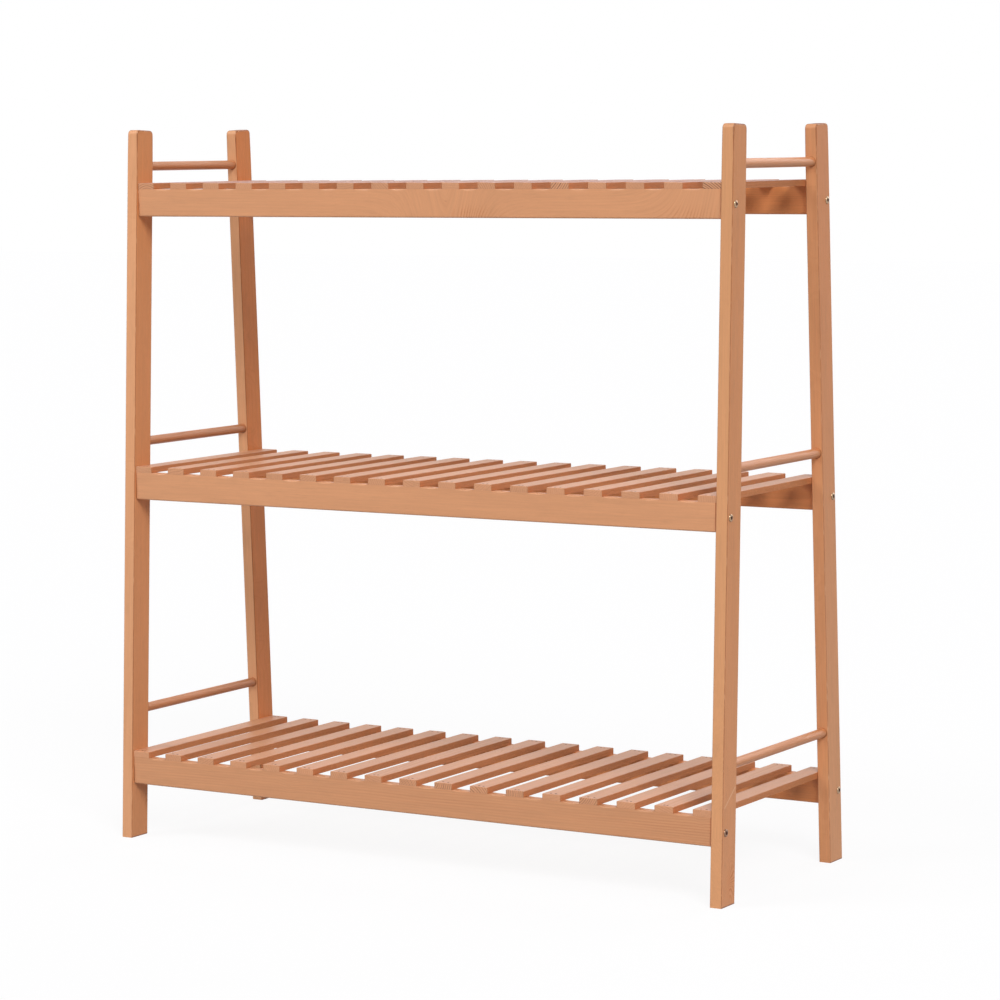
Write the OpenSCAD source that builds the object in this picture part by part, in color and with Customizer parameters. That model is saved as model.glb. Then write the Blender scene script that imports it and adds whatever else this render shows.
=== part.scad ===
// Three-tier plant ladder stand: two splayed leg frames carry three slatted shelves.
// The origin is on the floor at the middle of the stand. X runs along the shelves,
// the front is at -Y, and Z points up. All sizes are in millimetres.

/* [Overall size] */
// Width over the outer faces of the legs
stand_w = 900; // [600:10:1200]
// Height of the leg tops above the floor
stand_h = 940; // [930:5:1100]
// Depth over the feet, front to back
foot_depth = 336; // [290:2:420]
// Depth over the leg tops, front to back
top_depth = 257; // [230:1:290]

/* [Legs] */
// Thickness of a leg, seen from the front
leg_t = 16; // [15:1:24]
// Width of a leg, seen from the side
leg_w = 35; // [30:1:45]
// Radius of the two rounded corners at the top of a leg
leg_top_r = 7; // [3:0.5:10]
// Radius of the eased long edges of a leg
leg_edge_r = 2; // [0.5:0.25:3]

/* [Shelves] */
// Height of the top shelf's upper face
top_shelf_z = 870; // [840:1:880]
// Height of the middle shelf's upper face
middle_shelf_z = 495.5; // [420:0.5:600]
// Height of the bottom shelf's upper face
bottom_shelf_z = 116.5; // [90:0.5:200]
// Number of slats on each shelf
slat_count = 17; // [9:1:18]
// Width of a slat
slat_w = 26; // [20:1:30]
// Thickness of a slat
slat_t = 8; // [7:0.5:12]
// Radius of the eased long edges of a slat
slat_edge_r = 1; // [0.5:0.25:1.5]

/* [Rails] */
// Height of a rail
rail_h = 36; // [34:1:45]
// Thickness of a rail
rail_t = 13; // [12:0.5:18]
// Distance from a leg's outer face back to the rail's outer face
rail_setback = 3.2; // [2:0.2:4]
// Radius of the eased long edges of a rail
rail_edge_r = 2; // [0.5:0.25:3]

/* [Rungs] */
// Diameter of a side rung
rung_d = 12; // [8:1:13]
// Length of each rung end that is glued into a leg
rung_socket = 12; // [8:1:20]
// Height of the top rungs above the top shelf
top_rung_rise = 22; // [14:1:30]
// Height of the middle rungs above the middle shelf
middle_rung_rise = 31; // [14:1:80]
// Height of the bottom rungs above the bottom shelf
bottom_rung_rise = 52; // [14:1:80]

/* [Fasteners] */
// Diameter of a bolt's shank
bolt_d = 5; // [4:0.5:5.5]
// Length of a bolt under its head
bolt_length = 45; // [36:1:60]
// Diameter of a bolt's domed head
bolt_head_d = 9.4; // [8:0.2:11]
// Height of a bolt's domed head
bolt_head_h = 1.7; // [1:0.1:3]
// Width of a bolt's hexagon socket, across its flats
bolt_socket_af = 3; // [2.5:0.5:4]
// Distance from a leg's outer face to the bolt's axis
bolt_setback = 8; // [8:0.5:10]
// Outer diameter of the threaded insert in a rail's end
insert_d = 7; // [6.5:0.5:7.5]
// Length of the threaded insert
insert_length = 15; // [10:1:20]
// Diameter of a slat nail
nail_d = 1.3; // [1:0.1:1.8]
// Length of a slat nail, which ends above the threaded inserts
nail_length = 18; // [14:1:19]
// Depth of a nail's top below the slat's upper face
nail_sink = 0.6; // [0.2:0.1:1]
// Distance between the two nails at a slat's end
nail_spread = 6.5; // [4:0.5:10]
// Largest distance by which a hand-driven nail is off its mark
nail_wander = 1.2; // [0:0.1:1.5]

/* [Hidden] */
front = -1;
rear = 1;
left = -1;
right = 1;
sides = [left, right];
faces = [front, rear];
shelf_heights = [bottom_shelf_z, middle_shelf_z, top_shelf_z];
foot_half = foot_depth / 2;
leg_slope = (foot_depth - top_depth) / 2 / stand_h;
leg_tilt = atan(leg_slope);
leg_x = (stand_w - leg_t) / 2;
inner_half = stand_w / 2 - leg_t;
leg_flat_half = leg_w / 2 - leg_top_r;
// The leg's square-cut top touches stand_h at its rounded outer corner
leg_length = leg_top_r + (stand_h - leg_top_r - leg_flat_half * sin(leg_tilt)) / cos(leg_tilt);
slat_pitch = (2 * inner_half - slat_w) / (slat_count - 1);
socket_depth = 1.1;
shank_clearance = 0.25;
tip_room = 2;
cut = 1;
arc_steps = 48;
nail_steps = 16;
leg_wood = [0.83, 0.60, 0.44];
rail_wood = [0.80, 0.57, 0.42];
slat_wood = [0.85, 0.66, 0.55];
rung_wood = [0.78, 0.54, 0.40];
zinc = [0.74, 0.73, 0.70];
brass = [0.78, 0.66, 0.36];
steel = [0.45, 0.43, 0.41];

// Distance from the middle plane to a leg's outer face at a height
function leg_outer_y(z) = foot_half - z * leg_slope;
// Distance from the middle plane to a leg's inner face at a height
function leg_inner_y(z) = leg_outer_y(z) - leg_w / cos(leg_tilt);
function rail_middle_z(shelf_z) = shelf_z - slat_t - rail_h / 2;
// Distance from the middle plane to a rail's outer face, which the slat ends are flush with
function rail_face_y(shelf_z) = leg_outer_y(rail_middle_z(shelf_z)) - rail_setback;
function bolt_y(shelf_z) = leg_outer_y(rail_middle_z(shelf_z)) - bolt_setback;
function slat_x(i) = -inner_half + slat_w / 2 + (i - 1) * slat_pitch;
// A nail's place along X: two nails beside the slat's middle, each a little off its mark
function nail_x(i, side, face, shelf_z) =
    slat_x(i) + side * nail_spread / 2
    + nail_wander * sin(97 * i + 53 * side + 31 * face + shelf_z);
function nail_y(i, side, face, shelf_z) =
    face * (rail_face_y(shelf_z) - rail_t / 2)
    + nail_wander * cos(71 * i + 29 * side + 43 * face + shelf_z);

// A rectangle about the origin with its corners rounded
module rounded_rect(w, h, r) {
    square([w - 2 * r, h], center = true);
    square([w, h - 2 * r], center = true);
    for (x = sides, y = sides)
        translate([x * (w / 2 - r), y * (h / 2 - r)])
            circle(r = r, $fn = arc_steps);
}

// A leg's outline from the side: square cut at the top, with both corners rounded
module leg_outline() {
    translate([-leg_w / 2, -leg_w])
        square([leg_w, leg_w + leg_length - leg_top_r]);
    translate([-leg_flat_half, 0])
        square([2 * leg_flat_half, leg_length]);
    for (y = sides)
        translate([y * leg_flat_half, leg_length - leg_top_r])
            circle(r = leg_top_r, $fn = arc_steps);
}

// A straight bar with eased long edges, standing upright on its middle
module leg_bar() {
    intersection() {
        translate([0, 0, -leg_w])
            linear_extrude(leg_w + leg_length)
                rounded_rect(leg_t, leg_w, leg_edge_r);
        rotate([90, 0, 90])
            linear_extrude(leg_t + 2 * cut, center = true)
                leg_outline();
    }
}

// A leg: the bar leans in, is cut level at the floor, and is drilled for rungs and bolts
module leg(side, face) {
    middle_y = foot_half - leg_w / cos(leg_tilt) / 2;
    color(leg_wood)
        difference() {
            translate([side * leg_x, face * middle_y, 0])
                rotate([face * leg_tilt, 0, 0])
                    leg_bar();
            translate([side * leg_x, face * middle_y, -leg_w])
                cube([2 * leg_t, 2 * leg_w, 2 * leg_w], center = true);
            rung_bodies(side);
            for (z = shelf_heights)
                translate([side * leg_x, face * bolt_y(z), rail_middle_z(z)])
                    rotate([0, 90, 0])
                        cylinder(d = bolt_d + 2 * shank_clearance, h = leg_t + 2 * cut,
                                 center = true, $fn = arc_steps);
        }
}

// A rail between the legs' inner faces, bored at both ends for an insert and a bolt
module rail(shelf_z, face) {
    color(rail_wood)
        difference() {
            translate([0, face * (rail_face_y(shelf_z) - rail_t / 2), rail_middle_z(shelf_z)])
                rotate([90, 0, 90])
                    linear_extrude(2 * inner_half, center = true)
                        rounded_rect(rail_t, rail_h, rail_edge_r);
            for (side = sides)
                translate([0, face * bolt_y(shelf_z), rail_middle_z(shelf_z)])
                    rotate([0, side * 90, 0]) {
                        translate([0, 0, inner_half - insert_length])
                            cylinder(d = insert_d, h = insert_length + cut, $fn = arc_steps);
                        translate([0, 0, stand_w / 2 - bolt_length - tip_room])
                            cylinder(d = bolt_d, h = bolt_length, $fn = arc_steps);
                    }
            slat_nails(shelf_z);
        }
}

// A round rung along Y, glued into the front and the rear leg of one side
module rung_body(side, z) {
    length = 2 * (leg_inner_y(z) + rung_socket);
    translate([side * leg_x, 0, z])
        rotate([90, 0, 0])
            cylinder(d = rung_d, h = length, center = true, $fn = arc_steps);
}

module rung_bodies(side) {
    rung_body(side, top_shelf_z + top_rung_rise);
    rung_body(side, middle_shelf_z + middle_rung_rise);
    rung_body(side, bottom_shelf_z + bottom_rung_rise);
}

module rung(side, z) {
    color(rung_wood)
        rung_body(side, z);
}

// Slat number i of a shelf, from left to right, with its four nail holes
module slat(shelf_z, i) {
    color(slat_wood)
        difference() {
            translate([slat_x(i), 0, shelf_z - slat_t / 2])
                rotate([90, 0, 0])
                    linear_extrude(2 * rail_face_y(shelf_z), center = true)
                        rounded_rect(slat_w, slat_t, slat_edge_r);
            for (side = sides, face = faces)
                translate([nail_x(i, side, face, shelf_z), nail_y(i, side, face, shelf_z),
                           shelf_z - slat_t - cut])
                    cylinder(d = nail_d, h = slat_t + 2 * cut, $fn = nail_steps);
        }
}

module top_slats() {
    for (i = [1 : slat_count])
        slat(top_shelf_z, i);
}

// Two nails at each end of every slat of a shelf, sunk below the surface
module slat_nails(shelf_z) {
    color(steel)
        for (i = [1 : slat_count], side = sides, face = faces)
            translate([nail_x(i, side, face, shelf_z), nail_y(i, side, face, shelf_z),
                       shelf_z - nail_sink - nail_length])
                cylinder(d = nail_d, h = nail_length, $fn = nail_steps);
}

// A domed bolt along +Z, its head's underside at the origin and its shank below
module bolt() {
    dome_r = (pow(bolt_head_d / 2, 2) + pow(bolt_head_h, 2)) / (2 * bolt_head_h);
    difference() {
        union() {
            intersection() {
                cylinder(d = bolt_head_d, h = bolt_head_h, $fn = arc_steps);
                translate([0, 0, bolt_head_h - dome_r])
                    sphere(r = dome_r, $fn = arc_steps);
            }
            translate([0, 0, -bolt_length])
                cylinder(d = bolt_d, h = bolt_length, $fn = arc_steps);
        }
        translate([0, 0, bolt_head_h - socket_depth])
            cylinder(d = bolt_socket_af / cos(30), h = socket_depth + cut, $fn = 6);
    }
}

// One bolt for each rail end, put in from the legs' outer faces
module shelf_bolts() {
    color(zinc)
        for (z = shelf_heights, side = sides, face = faces)
            translate([side * stand_w / 2, face * bolt_y(z), rail_middle_z(z)])
                rotate([0, side * 90, 0])
                    bolt();
}

// One threaded sleeve in each rail end, flush with the end grain
module bolt_inserts() {
    color(brass)
        for (z = shelf_heights, side = sides, face = faces)
            translate([0, face * bolt_y(z), rail_middle_z(z)])
                rotate([0, side * 90, 0])
                    translate([0, 0, inner_half - insert_length])
                        difference() {
                            cylinder(d = insert_d, h = insert_length, $fn = arc_steps);
                            translate([0, 0, -cut])
                                cylinder(d = bolt_d, h = insert_length + 2 * cut,
                                         $fn = arc_steps);
                        }
}

leg(left, front);  // front_left_leg
leg(right, front);  // front_right_leg
leg(left, rear);  // rear_left_leg
leg(right, rear);  // rear_right_leg
rail(top_shelf_z, front);  // top_front_rail
rail(top_shelf_z, rear);  // top_rear_rail
rail(middle_shelf_z, front);  // middle_front_rail
rail(middle_shelf_z, rear);  // middle_rear_rail
rail(bottom_shelf_z, front);  // bottom_front_rail
rail(bottom_shelf_z, rear);  // bottom_rear_rail
rung(left, top_shelf_z + top_rung_rise);  // top_left_rung
rung(right, top_shelf_z + top_rung_rise);  // top_right_rung
rung(left, middle_shelf_z + middle_rung_rise);  // middle_left_rung
rung(right, middle_shelf_z + middle_rung_rise);  // middle_right_rung
rung(left, bottom_shelf_z + bottom_rung_rise);  // bottom_left_rung
rung(right, bottom_shelf_z + bottom_rung_rise);  // bottom_right_rung
top_slats();
for (i = [1 : slat_count])
    slat(middle_shelf_z, i);
for (i = [1 : slat_count])
    slat(bottom_shelf_z, i);
shelf_bolts();
bolt_inserts();
slat_nails(top_shelf_z);  // top_slat_nails
slat_nails(middle_shelf_z);  // middle_slat_nails
slat_nails(bottom_shelf_z);  // bottom_slat_nails
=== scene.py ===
import math

import bmesh
import bpy
import numpy as np
from mathutils import Matrix, Vector


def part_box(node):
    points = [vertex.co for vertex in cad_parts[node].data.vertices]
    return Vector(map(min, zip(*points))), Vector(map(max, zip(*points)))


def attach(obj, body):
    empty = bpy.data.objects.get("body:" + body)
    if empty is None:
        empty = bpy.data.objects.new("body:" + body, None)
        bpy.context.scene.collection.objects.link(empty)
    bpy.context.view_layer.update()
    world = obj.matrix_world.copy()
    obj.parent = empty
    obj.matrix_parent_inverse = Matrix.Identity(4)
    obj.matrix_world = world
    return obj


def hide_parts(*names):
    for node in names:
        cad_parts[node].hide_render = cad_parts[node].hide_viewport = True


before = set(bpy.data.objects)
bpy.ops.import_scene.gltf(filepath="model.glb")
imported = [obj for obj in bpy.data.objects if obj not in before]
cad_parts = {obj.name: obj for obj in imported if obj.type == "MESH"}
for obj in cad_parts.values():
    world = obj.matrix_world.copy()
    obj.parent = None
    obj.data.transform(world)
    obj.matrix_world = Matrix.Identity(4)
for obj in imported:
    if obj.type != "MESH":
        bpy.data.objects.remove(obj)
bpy.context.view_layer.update()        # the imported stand: bodies, nodes, joints and record
print("frame loaded,", len(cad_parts), "nodes")

mm = 0.001
degree = math.pi / 180
front, rear = -1, 1
left, right = -1, 1
shelves = ("top", "middle", "bottom")
slatCount = 17
slatWidth = 26 * mm


def addObject(name, data):
    made = bpy.data.objects.new(name, data)
    bpy.context.scene.collection.objects.link(made)
    return made


# camera: where the photograph was taken from, aimed by three angles in degrees
camera = {
    "place": (2.33398, -3.78181, 0.91996),
    "yaw": 31.199, "pitch": -4.785, "roll": -0.512,
    "lens": 123.85, "sensor": 36.0, "shiftY": -0.07, "farthest": 60.0,
}


def aimCamera(settings):
    # the view direction is turned by yaw about Z and raised by pitch; roll turns the picture
    yaw, pitch, roll = (settings[k] * degree for k in ("yaw", "pitch", "roll"))
    ahead = Vector((-math.sin(yaw) * math.cos(pitch), math.cos(yaw) * math.cos(pitch),
                    math.sin(pitch)))
    across = Vector((math.cos(yaw), math.sin(yaw), 0))
    upward = across.cross(ahead)
    rolledAcross = math.cos(roll) * across + math.sin(roll) * upward
    rolledUpward = math.cos(roll) * upward - math.sin(roll) * across
    data = bpy.data.cameras.new("photoCamera")
    data.sensor_width = settings["sensor"]
    data.lens = settings["lens"]
    data.shift_y = settings["shiftY"]
    data.clip_end = settings["farthest"]
    holder = addObject("photoCamera", data)
    turn = Matrix((rolledAcross, rolledUpward, -ahead)).transposed().to_4x4()
    holder.matrix_world = Matrix.Translation(settings["place"]) @ turn
    bpy.context.scene.camera = holder


aimCamera(camera)
print("camera placed")


class Wire:
    # a value that varies over a surface; each operator adds the Math node for it
    def __init__(self, sheet, socket):
        self.sheet, self.socket = sheet, socket

    def math(self, operation, first, second=0.0):
        return self.sheet.node("ShaderNodeMath", {"operation": operation}, {0: first, 1: second})

    def __add__(self, other):
        return self.math("ADD", self, other)

    __radd__ = __add__

    def __sub__(self, other):
        return self.math("SUBTRACT", self, other)

    def __rsub__(self, other):
        return self.math("SUBTRACT", other, self)

    def __mul__(self, other):
        return self.math("MULTIPLY", self, other)

    __rmul__ = __mul__

    def __truediv__(self, other):
        return self.math("DIVIDE", self, other)


class Sheet:
    # the nodes of a material or of the world
    def __init__(self, owner):
        owner.use_nodes = True
        self.owner, self.tree = owner, owner.node_tree

    def node(self, kind, settings=None, inputs=None, output=0):
        made = self.tree.nodes.new(kind)
        for name, value in (settings or {}).items():
            setattr(made, name, value)
        for key, value in (inputs or {}).items():
            self.feed(made.inputs[key], value)
        return Wire(self, made.outputs[output])

    def feed(self, socket, value):
        if isinstance(value, Wire):
            self.tree.links.new(value.socket, socket)
        else:
            socket.default_value = value

    def mark(self, name, output="Vector"):
        return self.node("ShaderNodeAttribute", {"attribute_name": name}, output=output)

    def parts(self, vector):
        return [self.node("ShaderNodeSeparateXYZ", inputs={0: vector}, output=k) for k in range(3)]

    def stretch(self, vector, scale):
        return self.node("ShaderNodeVectorMath", {"operation": "MULTIPLY"}, {0: vector, 1: scale})

    def cloud(self, vector, scale, detail=2.0):
        # soft noise from 0 to 1, with a cell of 1 / scale along each axis
        return self.node("ShaderNodeTexNoise", None,
                         {"Vector": self.stretch(vector, scale), "Scale": 1.0, "Detail": detail})

    def rise(self, value, low, high):
        # 0 below low, 1 above high, and a smooth step between
        return self.node("ShaderNodeMapRange", {"interpolation_type": "SMOOTHSTEP"},
                         {"Value": value, "From Min": low, "From Max": high})

    def blend(self, factor, first, second):
        inputs = {0: factor, 6: first, 7: second}
        return self.node("ShaderNodeMix", {"data_type": "RGBA"}, inputs, 2)

    def brighten(self, colour, factor):
        inputs = {0: colour, "Scale": factor}
        return self.node("ShaderNodeVectorMath", {"operation": "SCALE"}, inputs)

    def millimetres(self):
        return self.stretch(self.node("ShaderNodeTexCoord", output="Object"), (1000, 1000, 1000))

    def nearLine(self, line, core, rim):
        # 1 within core of a line between two places, seen along X, and 0 beyond rim, in millimetres
        _, y, z = self.parts(self.millimetres())
        (y0, z0), (y1, z1) = line
        length = math.hypot(y1 - y0, z1 - z0)
        dy, dz = (y1 - y0) / length, (z1 - z0) / length
        along = (y - y0) * dy + (z - z0) * dz
        aside = (y - y0) * dz - (z - z0) * dy
        past = along.math("ABSOLUTE", along - length / 2) - length / 2
        away = past.math("MAXIMUM", past.math("MAXIMUM", past, 0.0), aside.math("ABSOLUTE", aside))
        return 1 - self.rise(away, core, rim)

    def nearRungs(self, middleX, heights, radius, rim, above=0.35):
        # painted shade: 1 beside a rung's wall and 0 beyond the rim, seen along Y, in millimetres;
        # weaker above
        x, _, z = self.parts(self.millimetres())
        aside = x.math("ABSOLUTE", x) - middleX
        total = 0.0
        for height in heights:
            up = z - height
            square = aside * aside + up * up
            ring = 1 - self.rise(square.math("SQRT", square), radius, radius + rim)
            total = ring * (1 - (1 - above) * self.rise(up, -2.0, 5.0)) + total
        return total

    def bump(self, height, strength, distance):
        return self.node("ShaderNodeBump", None,
                         {"Height": height, "Strength": strength, "Distance": distance})

    def finish(self, **sockets):
        for name, value in sockets.items():
            self.feed(self.tree.nodes["Principled BSDF"].inputs[name.replace("_", " ")], value)
        return self.owner


# wood: how the stained softwood looks, besides its early wood's colour; lengths are in
# millimetres, colours are linear
woodLook = {
    "late": (0.48, 0.17, 0.062, 1), "smudge": (0.48, 0.235, 0.115, 1),
    "bare": (0.8, 0.48, 0.29, 1),
    "endLate": (0.15, 0.06, 0.028, 1), "fleck": (0.4, 0.15, 0.06, 1),
    "soaked": (0.42, 0.17, 0.075, 1), "pit": (0.15, 0.035, 0.012, 1),
    "ringWidth": 2.9, "ringDepth": 0.5, "ringPatches": (0.25, 1.1), "faintest": 0.45,
    "wander": 12.0, "kink": 60.0, "kinkFrom": 0.6,
    "smudging": 0.3, "flecking": 0.22, "soaking": 0.1,
    "edge": (0.43, 0.165, 0.065, 1), "edgeDepth": 0.35, "wornDepth": 0.6,
    # how much streaks, fibres, hairs and patches lighten or darken the colour
    "streakLight": 0.18, "fibreLight": 0.16, "hairLight": 0.12, "patchLight": 0.16,
    "roughness": 0.36, "specular": 0.4, "streaks": 0.16,
    "endRoughness": 0.1, "ringRoughness": 0.1, "wornShine": 0.08,
    "bumpStrength": 0.35, "bumpDistance": 0.25 * mm,
    # the relief's parts: fibres, hairs, rings and flecks
    "relief": (0.6, 0.4, 0.6, -0.5),
    # the narrow sides as the saw left them, with a tint partly their own and partly painted light
    # and shade
    "sawn": (0.84, 0.76, 0.68), "sawnRoughness": 0.3, "sawnHair": 0.2,
    # towards the floor: the sides' tint with its painted shading, and the painted shade line along
    # the sole
    "sawnFoot": None, "soleLine": 0.7,
    # a scratch from one place to another, and painted shade round the holes where rungs enter
    "scratch": None, "scratchDepth": 0.75,
    "rungs": None, "joint": (0.22, 0.07, 0.026, 1), "jointDepth": 0.8,
    # painted shade, dark and dull, on a rounding seen edge-on, and a painted sheen on a face seen
    # all but edge-on
    "rim": (0.17, 0.075, 0.06, 1), "rimDepth": 0.75, "rimRoughness": 0.45,
    "veil": (0.48, 0.4, 0.51, 1), "veilDepth": 0.0,
}
# the patterns' cells per millimetre, twice across the trunk and once along it
woodCells = {
    "wave": (0.014, 0.014, 0.0025), "swell": (0.01, 0.01, 0.019), "patch": (0.035, 0.035, 0.006),
    "fibre": (1.5, 1.5, 0.03), "hair": (5.0, 5.0, 0.12), "streak": (0.45, 0.45, 0.01),
    "smudge": (0.11, 0.08, 0.025), "fleck": (2.4, 2.4, 0.09), "wear": (0.5, 0.5, 0.07),
}
# where a pattern starts and is full: in a year's growth, in noise, turned away or in height
woodSteps = {
    "lateFrom": (0.35, 0.88), "lateTo": (0.9, 1.0),
    "smudge": (0.55, 0.75), "fleck": (0.66, 0.76), "wear": (0.5, 0.72), "scratch": (0.2, 0.45),
    "rim": (0.6, 0.92), "veil": (0.93, 0.985), "sole": (0.7, 1.9), "leg": (0.0, 940.0),
    "scratchLine": (0.45, 1.2),
}


def woodMaterial(name, kind=None, **changes):
    # the rings are the distance from the heart of the tree, bent by slow waves and a few strong
    # kinks, over a year's width. smudges, flecks, wear, stains and painted shade and sheen lie over
    # them, and streaks, fibres, hairs and patches change how bright it all is
    look = {**woodLook, **(kind or {}), **changes}
    sheet = Sheet(bpy.data.materials.new(name))
    place = sheet.stretch(sheet.mark("logPlace"), (1000, 1000, 1000))
    ends, edges, stain = sheet.parts(sheet.mark("surface"))
    tone, rings, endRings = sheet.parts(sheet.mark("nature"))
    sawn = sheet.mark("sawn", "Fac")
    x, y, _ = sheet.parts(place)
    wave = (sheet.cloud(place, woodCells["wave"]) - 0.5) * look["wander"]
    swell = sheet.cloud(place, woodCells["swell"], 1.0) - look["kinkFrom"]
    kink = swell.math("MAXIMUM", swell, 0.0) * look["kink"]
    square = x * x + y * y
    years = (square.math("SQRT", square) + wave + kink) / look["ringWidth"]
    season = years.math("FRACT", years)
    count = years.math("FLOOR", years)
    strength = sheet.node("ShaderNodeTexWhiteNoise", {"noise_dimensions": "1D"}, {"W": count},
                          "Value")
    late = sheet.rise(season, *woodSteps["lateFrom"])
    late = late * (1 - sheet.rise(season, *woodSteps["lateTo"]))
    dark = late * (look["faintest"] + (1 - look["faintest"]) * strength)

    fibre = sheet.cloud(place, woodCells["fibre"], 3.0)
    hair = sheet.cloud(place, woodCells["hair"], 1.0)
    patch = sheet.cloud(place, woodCells["patch"])
    streak = sheet.cloud(place, woodCells["streak"])
    smudge = sheet.rise(sheet.cloud(place, woodCells["smudge"]), *woodSteps["smudge"])
    fleck = sheet.rise(sheet.cloud(place, woodCells["fleck"], 1.0), *woodSteps["fleck"])
    worn = edges * sheet.rise(sheet.cloud(place, woodCells["wear"]), *woodSteps["wear"])
    least, more = look["ringPatches"]
    depth = look["ringDepth"] * (least + more * patch)
    colour = sheet.blend(dark * depth * rings, look["early"], look["late"])
    colour = sheet.blend(dark * depth * ends * endRings, colour, look["endLate"])
    colour = sheet.blend(smudge * look["smudging"], colour, look["smudge"])
    colour = sheet.blend(fleck * look["flecking"], colour, look["fleck"])
    colour = sheet.blend(ends * look["soaking"], colour, look["soaked"])
    colour = sheet.blend(edges * look["edgeDepth"], colour, look["edge"])
    colour = sheet.blend(worn * look["wornDepth"], colour, look["bare"])

    light = 1 + look["streakLight"] * (streak - 0.5) + look["fibreLight"] * (fibre - 0.5)
    light = light + (look["hairLight"] + look["sawnHair"] * sawn) * (hair - 0.5)
    light = light + look["patchLight"] * (patch - 0.5) + tone
    colour = sheet.brighten(colour, light)
    # the sides' tint is partly their own colour and partly painted light and shade, and changes
    # towards the floor
    tint = look["sawn"]
    if look["sawnFoot"]:
        _, _, up = sheet.parts(sheet.millimetres())
        risen = sheet.rise(up, *woodSteps["leg"])
        tint = sheet.blend(risen, (*look["sawnFoot"], 1), (*look["sawn"], 1))
    colour = sheet.blend(sawn, colour, sheet.stretch(colour, tint))
    if look["scratch"]:
        line = sheet.nearLine(look["scratch"], *woodSteps["scratchLine"])
        line = line * sheet.rise(hair, *woodSteps["scratch"])
        colour = sheet.blend(line * look["scratchDepth"], colour, look["bare"])
    # painted shade round each rung's hole in the inner face, weaker above
    if look["rungs"]:
        joint = sheet.nearRungs(*look["rungs"]) * sheet.mark("inner", "Fac")
        colour = sheet.blend(joint * look["jointDepth"], colour, look["joint"])
    # the dark mark: painted shade in the nail pits, along the rails' ends and where the rungs
    # enter, and a darker line at the slats' ends
    colour = sheet.blend(stain, colour, look["pit"])
    # painted shade along the sole
    if look["sawnFoot"]:
        sole = (1 - sheet.rise(up, *woodSteps["sole"])) * sawn
        colour = sheet.blend(sole * look["soleLine"], colour, look["rim"])
    # painted shade on roundings and ends seen edge-on
    grazing = sheet.node("ShaderNodeLayerWeight", None, {"Blend": 0.5}, "Facing")
    rim = edges.math("MAXIMUM", edges, ends) * sheet.rise(grazing, *woodSteps["rim"])
    colour = sheet.blend(rim * look["rimDepth"], colour, look["rim"])
    # a painted sheen on faces seen all but edge-on
    if look["veilDepth"]:
        veil = sheet.rise(grazing, *woodSteps["veil"]) * look["veilDepth"]
        colour = sheet.blend(veil, colour, look["veil"])

    rough = look["roughness"] + look["streaks"] * (fibre - 0.5) + look["endRoughness"] * ends
    rough = rough + look["ringRoughness"] * dark * rings - look["wornShine"] * worn
    rough = rough + look["sawnRoughness"] * sawn + look["rimRoughness"] * rim
    reliefs = zip(look["relief"], (fibre, hair, dark * rings, fleck))
    height = sum(share * pattern for share, pattern in reliefs)
    return sheet.finish(Base_Color=colour, Roughness=rough, Specular_IOR_Level=look["specular"],
                        Normal=sheet.bump(height, look["bumpStrength"], look["bumpDistance"]))


legLook = {
    "early": (0.66, 0.315, 0.148, 1), "smudging": 0.2, "specular": 0.3,
    "edge": (0.3, 0.11, 0.045, 1), "edgeDepth": 0.9,
    "sawnRoughness": 0.14,
    # the rungs' middle in X, their heights, their radius and the width of the painted shade round
    # them
    "rungs": (442, (892, 526.5, 168.5), 6.0, 1.6),
}
woods = {
    # each leg has its own copy of the wood, whose tints are partly its own colour and partly
    # painted light and shade for how light falls on it: the rear left leg's lighter wood is painted
    # light against the top shelf's shade
    "leg": woodMaterial("legWood", legLook, early=(0.665, 0.322, 0.162, 1),
                        sawn=(0.9, 0.75, 0.56), sawnFoot=(0.94, 0.83, 0.71)),
    "frontRightLeg": woodMaterial("frontRightLegWood", legLook, sawn=(0.97, 0.81, 0.65),
                                  sawnFoot=(1.03, 0.93, 0.88),
                                  scratch=((-131, 142), (-158, 121))),
    "rearLeftLeg": woodMaterial("rearLeftLegWood", legLook, early=(0.7, 0.352, 0.178, 1),
                                sawn=(0.94, 0.65, 0.39), sawnFoot=(0.95, 0.68, 0.45)),
    "rearRightLeg": woodMaterial("rearRightLegWood", legLook, early=(0.66, 0.296, 0.136, 1),
                                 sawn=(0.99, 0.85, 0.72), sawnFoot=(1.01, 1.05, 1.1),
                                 edgeDepth=0.75, wornDepth=0.9),
    "rail": woodMaterial("railWood", early=(0.645, 0.302, 0.149, 1), smudging=0.14, kink=30.0,
                         ringWidth=3.5, pit=(0.38, 0.08, 0.01, 1)),
    # the rear rails' copy of the rail wood is darker and more saturated: painted shade for faces
    # that lie in shade
    "rearRail": woodMaterial("rearRailWood", early=(0.66, 0.246, 0.086, 1), smudging=0.14),
    # the slats carry a painted sheen on faces seen all but edge-on
    "slat": woodMaterial("slatWood", early=(0.635, 0.302, 0.158, 1), roughness=0.4, specular=0.5,
                         sawn=(0.87, 0.665, 0.46), streaks=0.3, sawnHair=0.55,
                         soaking=0.03, veilDepth=0.6),
    "rung": woodMaterial("rungWood", early=(0.635, 0.25, 0.1, 1), ringWidth=2.2,
                         roughness=0.4),
}
print("wood finishes made")


# metals: plated or bare, with dull patches and fine scratches; cells are per millimetre
metalLook = {
    "patches": (0.9, 0.9, 0.9), "scratches": (6.0, 6.0, 6.0), "tarnish": (0.48, 0.72),
    "unevenness": 0.25, "bumpStrength": 0.2, "bumpDistance": 0.05 * mm,
}


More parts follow.
